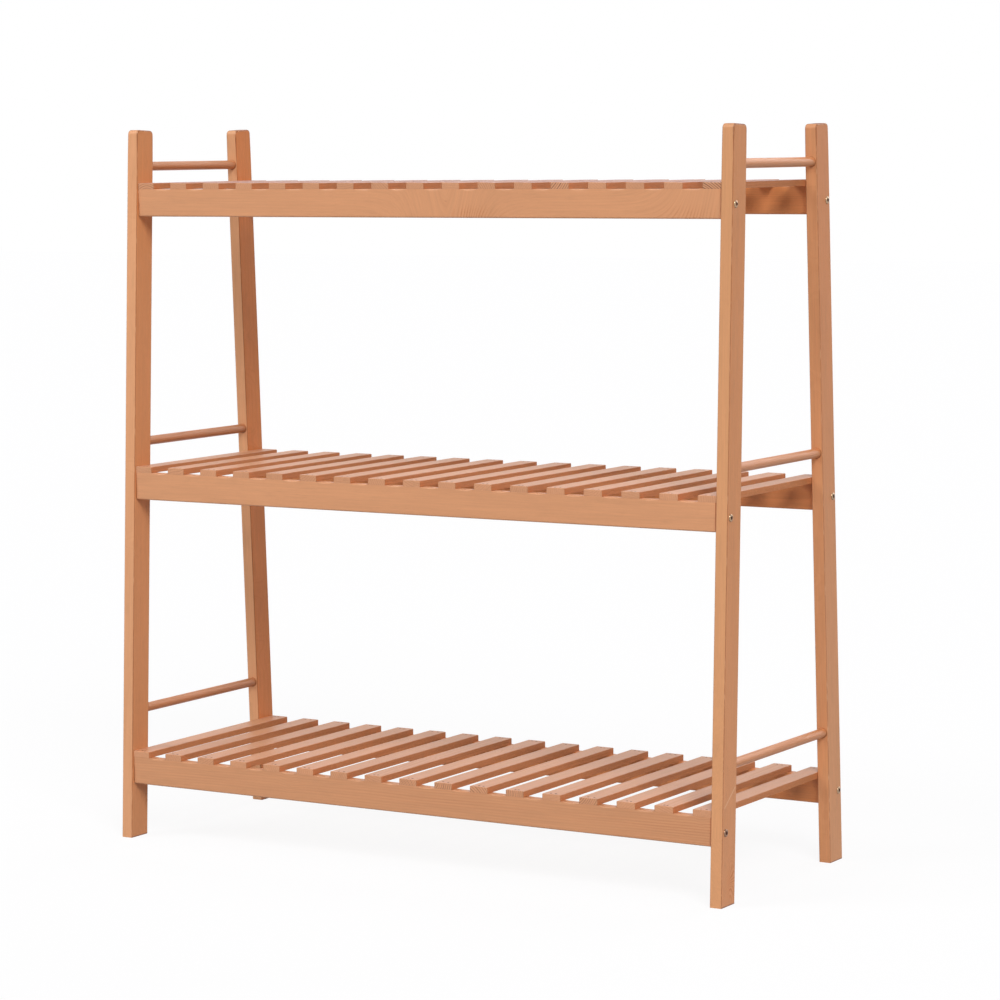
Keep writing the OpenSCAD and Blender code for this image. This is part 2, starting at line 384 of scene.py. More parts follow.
def metalMaterial(name, **changes):
    # noise turns the clean metal into tarnished and roughens it, and the mark paints shade into the
    # sockets and darkens a stained bolt with dirt
    look = {**metalLook, **changes}
    sheet = Sheet(bpy.data.materials.new(name))
    place = sheet.millimetres()
    cloudy = sheet.cloud(place, look["patches"], 3.0)
    fine = sheet.cloud(place, look["scratches"])
    tarnish = sheet.rise(cloudy, *look["tarnish"]) * look["tarnishing"]
    colour = sheet.blend(tarnish, look["clean"], look["tarnished"])
    _, _, dirt = sheet.parts(sheet.mark("surface"))
    colour = sheet.blend(dirt, colour, look["dirt"])
    rough = look["roughness"] + look["unevenness"] * (cloudy - 0.4)
    return sheet.finish(Base_Color=colour, Metallic=1.0, Roughness=rough,
                        Normal=sheet.bump(fine, look["bumpStrength"], look["bumpDistance"]))


metals = {
    "zinc": metalMaterial(
        "zincPlate", clean=(0.44, 0.3, 0.19, 1), tarnished=(0.12, 0.06, 0.035, 1),
        tarnishing=0.85, roughness=0.22, dirt=(0.16, 0.07, 0.05, 1)),
    "brass": metalMaterial(
        "insertBrass", clean=(0.7, 0.5, 0.2, 1), tarnished=(0.38, 0.25, 0.1, 1),
        tarnishing=0.5, roughness=0.3, dirt=(0.3, 0.18, 0.08, 1)),
    "steel": metalMaterial(
        "nailSteel", clean=(0.2, 0.18, 0.17, 1), tarnished=(0.08, 0.05, 0.04, 1),
        tarnishing=0.8, roughness=0.45, dirt=(0.06, 0.04, 0.03, 1)),
}
print("metal finishes made")


def gridQuads(rows, columns, closed=False):
    # quads between neighbouring points of a grid; closed joins the last column to the first
    index = np.arange(rows * columns).reshape(rows, columns)
    if closed:
        index = np.concatenate([index, index[:, :1]], axis=1)
    corners = (index[:-1, :-1], index[1:, :-1], index[1:, 1:], index[:-1, 1:])
    return np.stack(corners, axis=-1).reshape(-1, 4)


def join(parts):
    # several (points, quads, marks) as one
    offsets = np.cumsum([0] + [len(points) for points, _, _ in parts[:-1]])
    quads = [faces + offset for (_, faces, _), offset in zip(parts, offsets)]
    return (np.concatenate([p for p, _, _ in parts]), np.concatenate(quads),
            np.concatenate([m for _, _, m in parts]))


def nodeBox(node):
    # half the size of a node's box along each axis, and its centre
    low, high = (np.array(corner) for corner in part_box(node))
    return (high - low) / 2, (high + low) / 2


def weld(shape):
    # points at the same hundredth of a micron become one
    points, quads, marks = shape
    keys = np.round(points * 1e8).astype(np.int64)
    _, kept, back = np.unique(keys, axis=0, return_index=True, return_inverse=True)
    return points[kept], back.ravel()[quads], marks[kept]


def inTree(points, axis, tree, number, known):
    # where the piece lay in its tree: its length runs along the trunk, a little off straight, and
    # its section lies beside the heart, at a distance and an angle of its own. its nature is a
    # tone, which may fade along it, and how strong its rings are along it and at its ends
    draw = np.random.default_rng(tree["seed"] + number)
    own = {
        "heart": draw.uniform(*tree["heart"]), "angle": draw.uniform(0, 2 * math.pi),
        "leanA": draw.uniform(-tree["lean"], tree["lean"]),
        "leanB": draw.uniform(-tree["lean"], tree["lean"]),
        "start": draw.uniform(0, 30), "tone": draw.uniform(-0.04, 0.04),
        "rings": draw.uniform(0.3, 0.9), "endRings": draw.uniform(0, 1) ** 3 * 0.5,
        "fade": 0.0, "curls": (), "shown": (), **known,
    }
    a, b, along = points[:, (axis + 1) % 3], points[:, (axis + 2) % 3], points[:, axis]
    place = np.stack([a + own["heart"] * math.cos(own["angle"]) + own["leanA"] * along,
                      b + own["heart"] * math.sin(own["angle"]) + own["leanB"] * along,
                      along + own["start"]], axis=1)
    nature = np.tile([own["tone"], own["rings"], own["endRings"]], (len(place), 1))
    nature[:, 0] += own["fade"] * (2 * (along - along.min()) / np.ptp(along) - 1)
    # a curl moves the rings by a bell's height over its length. near it the piece is flattened by a
    # share, or below 0 stretched about a line at up, which bends the rings into arches
    for middle, length, height, flat, up in own["curls"]:
        bell = np.exp(-((along - middle) / length) ** 2)
        near = np.exp(-((along - middle) / length / 1.6) ** 2)
        place[:, 0] += height * math.cos(own["angle"]) * bell - a * max(flat, 0) * near
        place[:, 1] += height * math.sin(own["angle"]) * bell - b * flat * near
        place[:, 1] -= up * (1 - flat) * near * (flat < 0)
    # round a shown place, so far along and up, the rings are stronger and the wood is paler
    for middle, up, wide, tall, stronger, paler in own["shown"]:
        shown = np.exp(-((along - middle) / wide) ** 2 - ((b - up) / tall) ** 2)
        nature[:, 0] += paler * shown
        nature[:, 1] += stronger * shown
    return np.stack([place, nature])


def makePiece(name, shape, grain, material, node):
    # shape is points, quads and marks, which are blankMarks' four and, on legs, the inner face;
    # grain is from inTree, or nothing on metal
    points, quads, marks = shape
    mesh = bpy.data.meshes.new(name)
    mesh.from_pydata(points, [], quads)
    layers = {"surface": marks[:, :3]}
    if grain is not None:
        layers.update({"logPlace": grain[0], "nature": grain[1]})
    for layerName, values in layers.items():
        layer = mesh.attributes.new(layerName, "FLOAT_VECTOR", "POINT")
        layer.data.foreach_set("vector", values.astype(np.float32).ravel())
    for column, layerName in enumerate(("sawn", "inner")[:marks.shape[1] - 3]):
        layer = mesh.attributes.new(layerName, "FLOAT", "POINT")
        layer.data.foreach_set("value", marks[:, 3 + column].astype(np.float32))
    shell = bmesh.new()
    shell.from_mesh(mesh)
    bmesh.ops.recalc_face_normals(shell, faces=shell.faces)
    shell.to_mesh(mesh)
    shell.free()
    mesh.shade_smooth()
    mesh.set_sharp_from_angle(angle=50 * degree)
    mesh.materials.append(material)
    piece = addObject(name, mesh)
    flats = piece.modifiers.new("flatFaces", "WEIGHTED_NORMAL")
    flats.keep_sharp = True
    flats.weight = 100
    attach(piece, "root")
    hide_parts(node)


def smooth(value):
    # 0 up to 0, 1 from 1 on, and a smooth step between
    value = np.clip(value, 0, 1)
    return value * value * (3 - 2 * value)


def blankMarks(points):
    # end grain, worn edge, a dark mark of stain and painted shade, and sawn side with its painted
    # shading, all 0
    return np.zeros((len(points), 4))


def easedStops(half, radius, inner, steps=3):
    # stops from -half to half: inner ones on the flat, and in each rounded edge the radius times
    # the tangents of equal angles up to 45 degrees
    edge = half - radius + radius * np.tan(np.linspace(0, 45, steps + 1) * degree)
    return np.concatenate([-edge[::-1], inner, edge])


def boxShell(stops):
    # a grid over each of a box's six sides, through the stops along its axes
    parts = []
    for axis in range(3):
        u, v = (axis + 1) % 3, (axis + 2) % 3
        for end in (0, -1):
            side = np.empty((len(stops[u]), len(stops[v]), 3))
            side[..., axis] = stops[axis][end]
            side[..., u], side[..., v] = np.meshgrid(stops[u], stops[v], indexing="ij")
            quads = gridQuads(*side.shape[:2])
            points = side.reshape(-1, 3)
            parts.append((points, quads if end else quads[:, ::-1], blankMarks(points)))
    return join(parts)


def roundEdges(shape, half, radius, axis, own):
    # each point moves to the nearest one of the box shrunk by the radius, and out again by its own
    # radius, which may differ along the piece and between the axes
    points, quads, marks = shape
    core = np.clip(points, radius - half, half - radius)
    out = (points - core) / radius
    out /= np.linalg.norm(out, axis=1, keepdims=True)
    marks[:, 0] = np.abs(out[:, axis])
    marks[:, 1] = np.clip((1 - np.abs(out).max(axis=1)) / 0.29, 0, 1)
    marks[:, 3] = np.abs(out[:, 0]) ** 2 if axis == 1 else 0
    return core * (half - own) / (half - radius) + own * out, quads, marks


# legs: bars that lean in, cut level at the floor and square at the top
leg = {
    "thickness": 16 * mm, "width": 35 * mm, "edge": 1.3 * mm, "topEdge": 2 * mm,
    "topCorner": 5.8 * mm, "footDepth": 336 * mm, "topDepth": 257 * mm, "height": 940 * mm,
    # the heights over which the level cut and the top's rounder edges fade
    "levelCut": 30 * mm, "topBlend": 30 * mm,
    # rows of points: close ones at the foot, then even ones
    "footRows": np.array([0, 0.5, 4, 12, 20, 30, 40]) * mm, "firstRow": 50 * mm, "rows": 26,
    "across": 9, "cornerSteps": 9, "edgeSteps": 6, "rings": 0.3,
    "tree": {"seed": 40, "heart": (0.03, 0.09), "lean": 0.012},
    "known": {
        # the front left leg's raised tone is painted light
        "frontLeft": {"tone": 0.11, "fade": 0.07},
        "frontRight": {"tone": 0.03, "fade": -0.02, "rings": 0.08, "heart": 0.016, "angle": 0.0,
                       "curls": [(0.1, 0.06, 0.05, -2.0, 0.009)],
                       "shown": [(0.028, 0.009, 0.02, 0.011, 3.0, 0.05)]},
        "rearLeft": {"tone": 0.03, "fade": -0.03}, "rearRight": {"tone": 0.01, "fade": -0.03},
    },
}
legSlope = (leg["footDepth"] - leg["topDepth"]) / 2 / leg["height"]


def legShape(face):
    # an outline on the wide sides runs up one edge, round both top corners and down the other.
    # across the thickness its points swing in by the edge's radius, and the flat sides fill it
    corner, blend = leg["topCorner"], leg["topBlend"]
    tilt = math.atan(legSlope)
    flat = leg["width"] / 2 - corner
    top = (leg["height"] - corner - flat * math.sin(tilt)) / math.cos(tilt)
    turn = np.linspace(0, 90, leg["cornerSteps"])[1:] * degree
    even = np.linspace(leg["firstRow"], top - blend, leg["rows"])
    heights = np.concatenate([leg["footRows"], even, [top]])
    straight = np.zeros(len(heights))
    normalY = np.concatenate([straight + 1, np.cos(turn)])
    normalZ = np.concatenate([straight, np.sin(turn)])
    coreZ = np.concatenate([heights, np.full(len(turn), top)])
    rounder = leg["topEdge"] - leg["edge"]
    edge = leg["edge"] + rounder * smooth((coreZ - top) / blend + 1)
    spread = np.linspace(-1, 1, leg["across"])
    inner = len(spread) - 2
    lid = np.stack([spread[-2:0:-1] * flat, np.full(inner, top), np.zeros(inner),
                    np.ones(inner)], axis=1)
    rise = np.stack([np.full(len(coreZ), flat), coreZ, normalY, normalZ], axis=1)
    outline = np.concatenate([rise, lid, rise[::-1] * [-1, 1, -1, 1]])
    edges = np.concatenate([edge, np.full(inner, edge[-1]), edge[::-1]])[:, None]
    swing = np.linspace(0, 90, leg["edgeSteps"]) * degree
    swingX = np.concatenate([np.cos(swing), [1.0], np.cos(swing[::-1])])
    swingOut = np.concatenate([np.sin(swing), [1.0], np.sin(swing[::-1])])
    side = np.concatenate([-np.ones(len(swing)), [0.0], np.ones(len(swing))])
    x = side * (leg["thickness"] / 2 - edges * (1 - swingX))
    out = corner - edges * (1 - swingOut)
    wall = np.stack([x, outline[:, :1] + outline[:, 2:3] * out,
                     outline[:, 1:2] + outline[:, 3:] * out], axis=-1)
    none = np.zeros(wall.shape[:2])
    # edges are most worn halfway round, and more so at the top
    nearTop = 0.8 + 0.6 * smooth((outline[:, 1:2] - top) / blend + 1)
    worn = 1.3 * np.sin(2 * np.arccos(swingX)) * swingX * (side != 0)
    wallMarks = np.stack([none + outline[:, 3:] * swingOut, np.minimum(nearTop * worn, 1),
                          none, none + (swingX * np.abs(side)) ** 2], axis=-1)
    parts = [(wall.reshape(-1, 3), gridQuads(*wall.shape[:2]), wallMarks.reshape(-1, 4))]
    reach = corner - edge
    for end in (left, right):
        grid = np.empty((len(coreZ), len(spread), 3))
        grid[..., 0] = end * leg["thickness"] / 2
        grid[..., 1] = (flat + normalY * reach)[:, None] * spread
        grid[..., 2] = (coreZ + normalZ * reach)[:, None]
        grid = grid.reshape(-1, 3)
        marks = blankMarks(grid)
        marks[:, 3] = 1
        parts.append((grid, gridQuads(len(coreZ), len(spread)), marks))
    sole = np.zeros((len(swingX), len(spread), 3))
    sole[..., 0] = x[0][:, None]
    sole[..., 1] = (flat + out[0])[:, None] * spread
    sole = sole.reshape(-1, 3)
    parts.append((sole, gridQuads(len(swingX), len(spread)), blankMarks(sole)))
    points, quads, marks = join(parts)
    # the inner face is the one towards the shelves
    innerFace = (points[:, 1] * face < -flat - corner + 0.5 * mm).astype(float)
    tilt *= face
    level = np.clip(1 - points[:, 2] / leg["levelCut"], 0, 1)
    points[:, 2] -= points[:, 1] * math.tan(tilt) * level
    return weld((points, quads, np.column_stack([marks, innerFace]))), tilt


def makeLegs():
    # each leg's bar is turned about X by its tilt, with its outer edge at the foot's full depth
    number = 0
    for faceName, face in (("front", front), ("rear", rear)):
        for sideName in ("Left", "Right"):
            number += 1
            name = faceName + sideName
            (points, quads, marks), tilt = legShape(face)
            known = {"rings": leg["rings"], **leg["known"][name]}
            grain = inTree(points, 2, leg["tree"], number, known)
            y, z = points[:, 1].copy(), points[:, 2].copy()
            middle = leg["footDepth"] / 2 - leg["width"] / math.cos(tilt) / 2
            node = f"{faceName}_{sideName.lower()}_leg"
            points[:, 0] += nodeBox(node)[1][0]
            points[:, 1] = face * middle + y * math.cos(tilt) - z * math.sin(tilt)
            points[:, 2] = y * math.sin(tilt) + z * math.cos(tilt)
            material = woods.get(f"{name}Leg", woods["leg"])
            makePiece(f"{name}Leg", (points, quads, marks), grain, material, node)


makeLegs()
print("legs made")


# rails: boards on edge; their top edges were eased after the slats went on, so only between them
rail = {
    "edge": 1.9 * mm, "underSlat": 0.2 * mm, "runOut": 9 * mm,
    # painted shade: a dark line at each end, where the rail meets a leg, and half as wide at the
    # left one
    "endLine": 2.6 * mm, "endStain": 0.3,
    "endStains": {"topFront": 0.2, "middleFront": 0.6, "bottomFront": 0.4},
    # stops from a slat's middle in its widths, and beyond in shares of the rest of the gap
    "besideSlat": np.array([-0.2, 0.2, 0.45, 0.55, 0.65, 0.8, 1.0]), "inGap": np.array([0.25, 0.5]),
    "clearOfEdge": 0.4 * mm, "clearOfEnd": 1.5 * mm,
    "tree": {"seed": 60, "heart": (0.03, 0.1), "lean": 0.02},
    "known": {
        "topFront": {"tone": 0.07, "rings": 0.22, "heart": 0.07, "angle": 85 * degree,
                     "curls": [(0.045, 0.055, 0.055, 0.9, 0.0), (0.45, 0.07, -0.07, 0.9, 0.0)],
                     "shown": [(0.09, -0.013, 0.03, 0.008, 3.2, 0.0),
                               (0.392, -0.013, 0.034, 0.008, 1.7, 0.0)]},
        "middleFront": {"tone": 0.045, "rings": 0.12, "heart": 0.08, "angle": 60 * degree},
        "bottomFront": {"tone": -0.05, "rings": 0.5, "heart": 0.11, "angle": 85 * degree,
                        "shown": [(0.4, -0.004, 0.09, 0.016, 1.3, 0.0),
                                  (0.06, 0.004, 0.1, 0.012, 0.6, 0.0)]},
    },
}


def slatMiddles(shelf):
    # the slats stand at equal steps from one end of the rails to the other
    reach = nodeBox(f"{shelf}_front_rail")[0][0] - slatWidth / 2
    return np.linspace(-reach, reach, slatCount)


def makeRails():
    # a box whose edges are rounded by the radius. on top it shrinks to almost nothing at a slat's
    # side, by a smooth step of the distance from the slat over the run-out
    number = 0
    radius, sharp = rail["edge"], rail["underSlat"]
    for shelf in shelves:
        middles = slatMiddles(shelf)
        gap = middles[1] - middles[0] - slatWidth
        across = rail["besideSlat"] * slatWidth
        across = np.concatenate([across, across[-1:] + rail["inGap"] * (gap - slatWidth / 2)])
        for faceName in ("front", "rear"):
            number += 1
            node = f"{shelf}_{faceName}_rail"
            half, centre = nodeBox(node)
            flat = half - radius - rail["clearOfEdge"]
            alongStops = (middles[:, None] + np.concatenate([-across[1:], across])).ravel()
            alongStops = np.unique(np.round(alongStops, 5))
            alongStops = alongStops[np.abs(alongStops) < flat[0] - rail["clearOfEnd"]]
            endStops = half[0] - rail["endLine"] * np.array([1.0, 0.8])
            alongStops = np.concatenate([-endStops, alongStops, endStops[::-1]])
            alongStops.sort()
            stops = [easedStops(half[0], radius, alongStops),
                     easedStops(half[1], radius, np.linspace(-flat[1], flat[1], 4)),
                     easedStops(half[2], radius, np.linspace(-flat[2], flat[2], 7))]
            shape = boxShell(stops)
            fromSlat = np.abs(shape[0][:, :1] - middles).min(axis=1) - slatWidth / 2
            opened = smooth(fromSlat / rail["runOut"])
            own = np.full_like(shape[0], radius)
            top = shape[0][:, 2] > 0
            own[top, 1:] = (sharp + (radius - sharp) * opened[top])[:, None]
            points, quads, marks = weld(roundEdges(shape, half, radius, 0, own))
            name = shelf + faceName.title()
            # painted shade along each end, where the rail meets a leg
            fromEnd = half[0] - np.abs(points[:, 0])
            line = np.where(points[:, 0] > 0, rail["endLine"], rail["endLine"] / 2)
            stain = rail["endStains"].get(name, rail["endStain"])
            marks[:, 2] = stain * smooth(5 - 5 * fromEnd / line)
            grain = inTree(points, 0, rail["tree"], number, rail["known"].get(name, {}))
            material = woods["rail" if faceName == "front" else "rearRail"]
            makePiece(f"{name}Rail", (points + centre, quads, marks), grain, material,
                      node)


makeRails()
print("rails made")


# rungs: turned dowels whose ends go into the legs
rung = {
    "bevel": 0.8 * mm, "around": 48, "along": 30, "socket": 12 * mm,
    # painted shade: a dark line where the rung enters a leg, weaker above
    "joint": 1.3 * mm, "jointStain": 0.9, "above": 0.35,
    "tree": {"seed": 80, "heart": (0.02, 0.05), "lean": 0.02},
    "known": {
        "topleft": {"tone": -0.12}, "middleleft": {"tone": -0.22}, "bottomleft": {"tone": -0.2},
        "middleright": {"tone": -0.06}, "bottomright": {"tone": -0.04},
    },
}


def closingStrips(count):
    # strips across a ring of points, which close it as one small face
    return np.array([[k, k + 1, count - 2 - k, count - 1 - k] for k in range(count // 2 - 1)])


def makeRungs():
    # a circle of the radius along Y, drawn in at both ends by the bevel, with close rows of points
    # where it enters the legs
    number = 0
    for shelf in shelves:
        for sideName in ("left", "right"):
            number += 1
            node = f"{shelf}_{sideName}_rung"
            half, centre = nodeBox(node)
            radius, bevel = half[2], rung["bevel"]
            atLeg = half[1] - rung["socket"] + np.arange(-4, 5) * rung["joint"] / 2
            free = atLeg[0] - rung["joint"]
            wallY = np.concatenate([[bevel - half[1]], -atLeg[::-1],
                                    np.linspace(-free, free, rung["along"]),
                                    atLeg, [half[1] - bevel]])
            y = np.concatenate([[-half[1], -half[1]], wallY, [half[1], half[1]]])
            r = np.concatenate([[radius / 4, radius - bevel], np.full(len(wallY), radius),
                                [radius - bevel, radius / 4]])
            turn = np.linspace(0, 2 * math.pi, rung["around"], endpoint=False)
            ring = np.stack([np.cos(turn), np.zeros_like(turn), np.sin(turn)], axis=1)
            grid = r[:, None, None] * ring + y[:, None, None] * np.array([0, 1, 0])
            points, quads = grid.reshape(-1, 3), gridQuads(len(y), len(turn), closed=True)
            strips = closingStrips(len(turn))
            quads = np.concatenate([quads, strips, strips[:, ::-1] + len(points) - len(turn)])
            marks = blankMarks(points)
            marks[:, 0] = np.abs(points[:, 1]) > half[1] - bevel / 2
            # the painted shade line: the leg's face leans, so the line stands further out below
            enters = half[1] - rung["socket"] - points[:, 2] * legSlope
            above = rung["above"]
            under = above + (1 - above) * smooth(0.5 - points[:, 2] / radius)
            marks[:, 2] = smooth(1 + (np.abs(points[:, 1]) - enters) / rung["joint"]) * under
            marks[:, 2] *= rung["jointStain"]
            known = rung["known"].get(shelf + sideName, {})
            grain = inTree(points, 1, rung["tree"], number, known)
            makePiece(f"{shelf}{sideName.title()}Rung", (points + centre, quads, marks), grain,
                      woods["rung"], node)


makeRungs()
print("rungs made")


# slats: flat strips with eased edges, and two nail pits at each end
slat = {
    "edge": 0.9 * mm, "endEdge": 0.3 * mm, "underEdge": 0.25 * mm,
    # the nails: how far from the end, apart, and off their marks
    "fromEnd": 6.5 * mm, "spread": 6.5 * mm, "wander": 1.2 * mm,
    # a pit over each nail, in a cell of the top face that is cut into steps
    "cell": 11 * mm, "cellSteps": 5, "middleSteps": 10, "edgeSteps": 2,
    "pitRadii": np.array([2.0, 1.3, 1.1, 0.95, 0.85]) * mm,
    "pitDepths": np.array([0, 0, 0.1, 0.3, 0.75]) * mm,
    "rearTone": 0.1, "endStain": 0.45,
    "tree": {"seed": 100, "heart": (0.025, 0.09), "lean": 0.02},
    # slats whose end grain shows in the photograph
    "known": {
        ("top", 1): {"heart": 0.022, "angle": 0.0, "endRings": 1.2},
        ("top", 13): {"heart": 0.06, "angle": 130 * degree, "endRings": 2.2},
        ("top", 17): {"heart": 0.06, "angle": 40 * degree, "endRings": 3.5},
        ("bottom", 9): {"heart": 0.05, "angle": 60 * degree, "endRings": 1.6},
        ("bottom", 10): {"heart": 0.02, "angle": 100 * degree, "endRings": 1.6},
        ("bottom", 11): {"heart": 0.06, "angle": 45 * degree, "endRings": 1.8},
        ("bottom", 12): {"heart": 0.03, "angle": 80 * degree, "endRings": 1.6},
        ("bottom", 14): {"heart": 0.03, "angle": 125 * degree, "endRings": 1.6},
    },
}
# the heights of the shelves' upper faces in millimetres
shelfHeights = {"top": 870, "middle": 495.5, "bottom": 116.5}


def nailPlace(number, side, face, shelf):
    # a nail's place from the slat's middle and from the rail's: off its mark by a sine and a cosine
    # of the same angles in degrees as in the part's source
    turnX = (97 * number + 53 * side + 31 * face + shelfHeights[shelf]) * degree
    turnY = (71 * number + 29 * side + 43 * face + shelfHeights[shelf]) * degree
    x = side * slat["spread"] / 2 + slat["wander"] * math.sin(turnX)
    return x, slat["wander"] * math.cos(turnY)


def pitPatch(nail, xs, ys, top):
    # rings of points from the cell's border to circles about the nail, down into the pit
    border = [(x, ys[0]) for x in xs[:-1]] + [(xs[-1], y) for y in ys[:-1]]
    border += [(x, ys[-1]) for x in xs[:0:-1]] + [(xs[0], y) for y in ys[:0:-1]]
    count = len(border)
    start = math.atan2(ys[0] - nail[1], xs[0] - nail[0])
    turn = start + np.linspace(0, 2 * math.pi, count, endpoint=False)
    rings = [np.column_stack([np.array(border), np.full(count, top)])]
    for radius, depth in zip(slat["pitRadii"], slat["pitDepths"]):
        rings.append(np.column_stack([nail[0] + radius * np.cos(turn),
                                      nail[1] + radius * np.sin(turn),
                                      np.full(count, top - depth)]))
    points = np.concatenate(rings)
    quads = gridQuads(len(rings), count, closed=True)[:, ::-1]
    bottom = closingStrips(count) + count * (len(rings) - 1)
    marks = blankMarks(points)
    # painted shade on the pit's walls and floor
    marks[2 * count:, 2] = 1
    return points, np.concatenate([quads, bottom]), marks


def slatShape(half, number, shelf):
    # a box with rounded edges, in whose top face four cells give way to the pits' own patches
    cell, steps, turns = slat["cell"], slat["cellSteps"], slat["edgeSteps"]
    radius = np.array([slat["edge"], slat["endEdge"], slat["edge"]])
    flatX, flatY = (half - radius)[:2]
    nails, split = {}, {}
    for face in (front, rear):
        for side in (left, right):
            x, y = nailPlace(number, side, face, shelf)
            nails[side, face] = (x, face * (half[1] - slat["fromEnd"]) + y)
        split[face] = (nails[left, face][0] + nails[right, face][0]) / 2
    # both ends share the stops across, so the cells part halfway between the two ends' nails
    part = (split[front] + split[rear]) / 2
    across = np.concatenate([np.linspace(-flatX, part, steps)[1:],
                             np.linspace(part, flatX, steps)[1:-1]])
    near = np.linspace(-flatY, cell - flatY, steps)[1:]
    middle = np.linspace(cell - flatY, flatY - cell, slat["middleSteps"])[1:-1]
    stops = [easedStops(half[0], radius[0], across, turns),
             easedStops(half[1], radius[1], np.concatenate([near, middle, -near[::-1]]), turns),
             easedStops(half[2], radius[2], np.zeros(1), turns)]
    shape = boxShell(stops)
    own = np.broadcast_to(radius, shape[0].shape).copy()
    own[shape[0][:, 2] < 0, 2] = slat["underEdge"]
    points, quads, marks = roundEdges(shape, half, radius, 1, own)
    centres = points[quads].mean(axis=1)
    inCell = (np.abs(centres[:, 2] - half[2]) < 1e-6) & (np.abs(centres[:, 0]) < flatX)
    inCell &= (np.abs(centres[:, 1]) < flatY) & (np.abs(centres[:, 1]) > flatY - cell)
    parts = [(points, quads[~inCell], marks)]
    xs = {left: np.linspace(-flatX, part, steps), right: np.linspace(part, flatX, steps)}
    ys = {front: np.linspace(-flatY, cell - flatY, steps),
          rear: np.linspace(flatY - cell, flatY, steps)}
    parts += [pitPatch(nails[side, face], xs[side], ys[face], half[2]) for side, face in nails]
    return weld(join(parts))


def makeSlats():
    # each slat fills its node's box; the top shelf's slats share one node, and so become one piece
    for shelf in shelves:
        heap = []
        for number in range(1, slatCount + 1):
            node = "top_slats" if shelf == "top" else f"{shelf}_slat_{number}"
            half, centre = nodeBox(node)
            if shelf == "top":
                half[0] = slatWidth / 2
                centre[0] += slatMiddles(shelf)[number - 1]
            points, quads, marks = slatShape(half, number, shelf)
            known = slat["known"].get((shelf, number), {})
            grain = inTree(points, 1, slat["tree"], 100 * shelves.index(shelf) + number, known)
            # the rear halves are painted a little darker as shade, and the sides darker still at
            # both ends
            grain[1][:, 0] -= slat["rearTone"] * smooth(points[:, 1] / half[1] + 0.3)
            atEnd = np.abs(points[:, 1]) > half[1] - slat["endEdge"]
            marks[:, 2] = np.maximum(marks[:, 2], slat["endStain"] * atEnd * marks[:, 3])
            shape = (points + centre, quads, marks)
            if shelf == "top":
                heap.append((shape, grain))
            else:
                makePiece(f"{shelf}Slat{number}", shape, grain, woods["slat"], node)
        if heap:
            grains = np.concatenate([grain for _, grain in heap], axis=1)
            makePiece("topSlats", join([shape for shape, _ in heap]), grains, woods["slat"],
                      "top_slats")


makeSlats()
print("slats made")


# bolts: domed heads with a hexagon socket, on plain shanks
bolt = {
    "headD": 9.4 * mm, "headH": 1.7 * mm, "rim": 1.4 * mm, "shoulder": 0.25 * mm,
    "rimTurn": 78, "rimRings": 9, "socket": 4.2 * mm, "socketDepth": 1.2 * mm,
    "socketPoint": 0.35 * mm, "socketEase": 0.25 * mm, "socketLip": 0.12 * mm,
    "shankD": 5.0 * mm, "length": 45 * mm, "tip": 0.5 * mm, "around": 48,
    "fromFace": 8.0 * mm, "underSlats": 26 * mm,
    "seed": 7, "stained": {("bottom", right, front): 0.6},
}


def boltShape():
    # a profile turned about the axis: up the shank, out under the head, round its rim, over a
    # shallow dome and into the socket, where the radius is half the flats' distance over the cosine
    # of the angle from the nearest flat
    headR, headH, rim = bolt["headD"] / 2, bolt["headH"], bolt["rim"]
    shankR, length = bolt["shankD"] / 2, bolt["length"]
    turn = np.linspace(0, 2 * math.pi, bolt["around"], endpoint=False)
    hexagon = bolt["socket"] / 2 / np.cos((turn + math.pi / 6) % (math.pi / 3) - math.pi / 6)
    circle = np.ones_like(turn)
    rings = [(shankR * 0.3 * circle, -length), (shankR * 0.8 * circle, -length),
             (shankR * circle, bolt["tip"] - length), (shankR * circle, 0.0),
             (headR * 0.97 * circle, 0.0)]
    shoulder = headH - bolt["shoulder"]
    for angle in np.linspace(0, bolt["rimTurn"], bolt["rimRings"]) * degree:
        rings.append(((headR - rim * (1 - math.cos(angle))) * circle,
                      shoulder - rim * (1 - math.sin(angle))))
    bottom = headH - bolt["socketDepth"]
    rings += [(hexagon + bolt["socketEase"], headH),
              (hexagon, headH - bolt["socketLip"]), (hexagon * 0.98, bottom),
              (hexagon * 0.1, bottom - bolt["socketPoint"])]
    grid = np.stack([np.stack([r * np.cos(turn), r * np.sin(turn), np.full_like(turn, z)], axis=1)
                     for r, z in rings])
    count = len(turn)
    quads = gridQuads(len(rings), count, closed=True)
    lid = closingStrips(count)
    points = grid.reshape(-1, 3)
    marks = blankMarks(points)
    # painted shade in the socket
    marks[-2 * count:, 2] = 1
    return points, np.concatenate([quads, lid, lid[:, ::-1] + len(points) - count]), marks


def makeBolts():
    # each bolt lies along X from a leg's outer face, turned about its axis by a drawn angle
    draw = np.random.default_rng(bolt["seed"])
    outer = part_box("front_right_leg")[1].x
    parts = []
    for shelf in shelves:
        z = shelfHeights[shelf] * mm - bolt["underSlats"]
        y = leg["footDepth"] / 2 - z * legSlope - bolt["fromFace"]
        for side in (left, right):
            for face in (front, rear):
                points, quads, marks = boltShape()
                stain = bolt["stained"].get((shelf, side, face), 0)
                marks[:, 2] = np.maximum(marks[:, 2], stain)
                spin = draw.uniform(0, math.pi / 3)
                a = points[:, 0] * math.cos(spin) - points[:, 1] * math.sin(spin)
                b = points[:, 0] * math.sin(spin) + points[:, 1] * math.cos(spin)
                placed = np.stack([side * (outer + points[:, 2]), face * y + a, z + b], axis=1)
                parts.append((placed, quads, marks))
    makePiece("shelfBolts", join(parts), None, metals["zinc"], "shelf_bolts")


makeBolts()
print("bolts made")


